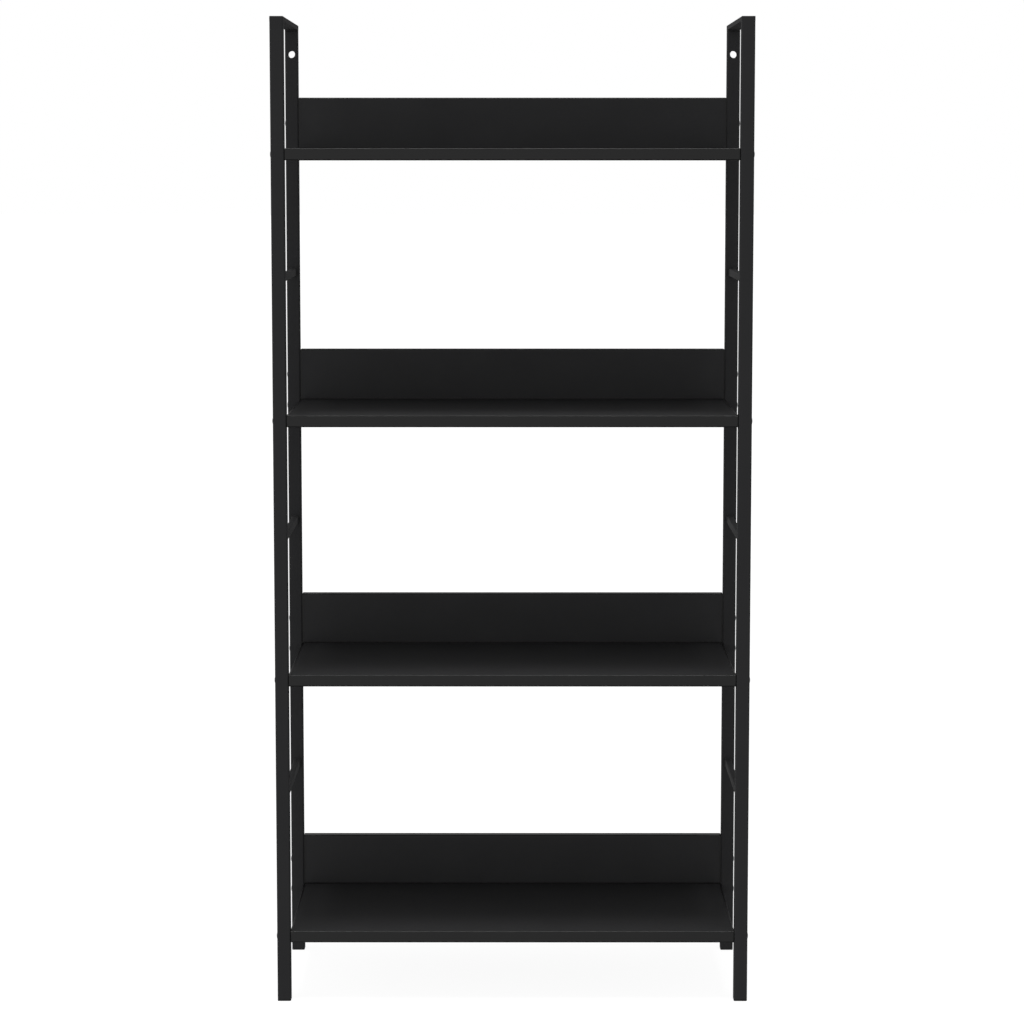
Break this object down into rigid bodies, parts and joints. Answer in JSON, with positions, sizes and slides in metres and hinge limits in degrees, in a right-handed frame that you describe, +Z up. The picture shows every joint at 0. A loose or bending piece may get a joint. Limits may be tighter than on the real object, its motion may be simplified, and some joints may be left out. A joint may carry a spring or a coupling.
{
  "type": "bookcase",
  "caption": "Free-standing open bookcase: a square-tube steel frame with shelf boards and low back panels, the middle shelves adjustable in height by one screw hole at a time.",
  "frame": {"origin": "on the floor under the middle of the bookcase", "axes": "+X to the right as seen from the front, +Y from the front to the back, +Z up"},
  "size_m": [0.6022, 0.276, 1.245],
  "materials": {
    "frame": "matt black powder coat on steel tube",
    "shelf": "black melamine-faced chipboard with matching edge band",
    "end_plug": "moulded black polypropylene",
    "screw": "blackened steel",
    "dowel": "turned beech"
  },
  "bodies": {
    "frame": {"front_left_upright": "frame", "front_right_upright": "frame", "rear_left_upright": "frame", "rear_right_upright": "frame", "left_top_rail": "frame", "right_top_rail": "frame", "left_lower_rung": "frame", "left_middle_rung": "frame", "left_upper_rung": "frame", "right_lower_rung": "frame", "right_middle_rung": "frame", "right_upper_rung": "frame", "front_left_end_plug": "end_plug", "front_right_end_plug": "end_plug", "rear_left_end_plug": "end_plug", "rear_right_end_plug": "end_plug", "bottom_shelf_board": "shelf", "bottom_back_panel": "shelf", "bottom_front_left_screw": "screw", "bottom_front_right_screw": "screw", "bottom_rear_left_screw": "screw", "bottom_rear_right_screw": "screw", "bottom_panel_left_screw": "screw", "bottom_panel_right_screw": "screw", "bottom_left_dowel": "dowel", "bottom_right_dowel": "dowel", "top_shelf_board": "shelf", "top_back_panel": "shelf", "top_front_left_screw": "screw", "top_front_right_screw": "screw", "top_rear_left_screw": "screw", "top_rear_right_screw": "screw", "top_panel_left_screw": "screw", "top_panel_right_screw": "screw", "top_left_dowel": "dowel", "top_right_dowel": "dowel"},
    "lower_shelf": {"lower_shelf_board": "shelf", "lower_back_panel": "shelf", "lower_front_left_screw": "screw", "lower_front_right_screw": "screw", "lower_rear_left_screw": "screw", "lower_rear_right_screw": "screw", "lower_panel_left_screw": "screw", "lower_panel_right_screw": "screw", "lower_left_dowel": "dowel", "lower_right_dowel": "dowel"},
    "upper_shelf": {"upper_shelf_board": "shelf", "upper_back_panel": "shelf", "upper_front_left_screw": "screw", "upper_front_right_screw": "screw", "upper_rear_left_screw": "screw", "upper_rear_right_screw": "screw", "upper_panel_left_screw": "screw", "upper_panel_right_screw": "screw", "upper_left_dowel": "dowel", "upper_right_dowel": "dowel"}
  },
  "joints": [
    {"name": "lower_shelf_height", "type": "slide", "parent": "frame", "child": "lower_shelf", "axis": [0, 0, 1], "range_m": [-0.165, 0.0825]},
    {"name": "upper_shelf_height", "type": "slide", "parent": "frame", "child": "upper_shelf", "axis": [0, 0, 1], "range_m": [-0.0825, 0.165]}
  ]
}
